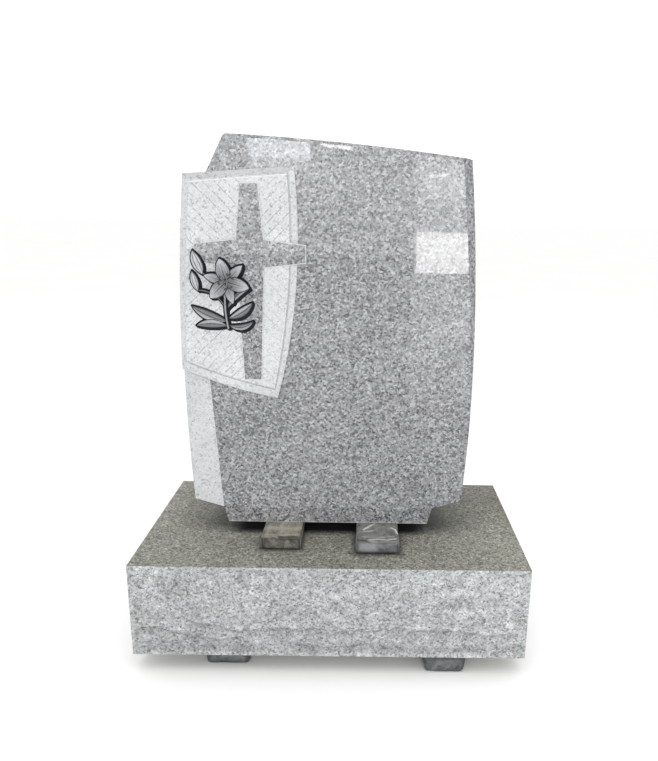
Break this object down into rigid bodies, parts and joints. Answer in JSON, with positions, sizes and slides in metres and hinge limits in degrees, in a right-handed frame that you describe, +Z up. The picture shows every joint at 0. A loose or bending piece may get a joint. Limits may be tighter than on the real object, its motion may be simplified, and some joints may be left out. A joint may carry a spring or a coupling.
{
  "type": "headstone",
  "caption": "Upright grey granite headstone with a shaped polished tablet, a raised pale shield with a cross and a carved lily spray, and a split-faced base on wrapped timber bearers.",
  "frame": {"origin": "on the floor under the middle of the base, level with the bearers' undersides", "axes": "+Z is up, -Y is the carved front and +X is to the right when facing the front"},
  "size_m": [0.914, 0.457, 1.2121],
  "materials": {
    "polished_granite": "polished speckled grey granite",
    "axed_granite": "pale finely tooled granite, matte",
    "split_granite": "rock-split granite sides with a sawn top",
    "carved_granite": "honed carved relief with darkened hollows",
    "wrapped_timber_dark": "timber wrapped in dark grey film",
    "wrapped_timber_tan": "timber wrapped in thin clear film"
  },
  "bodies": {
    "root": {"base_block": "split_granite", "bearer_left": "wrapped_timber_dark", "bearer_right": "wrapped_timber_dark", "setting_block_left": "wrapped_timber_tan", "setting_block_right": "wrapped_timber_tan", "tablet": "polished_granite", "shield_border": "axed_granite", "shield_field": "axed_granite", "cross": "polished_granite", "lily_flower": "carved_granite", "lily_bud": "carved_granite", "lily_leaves": "carved_granite"}
  },
  "joints": []
}
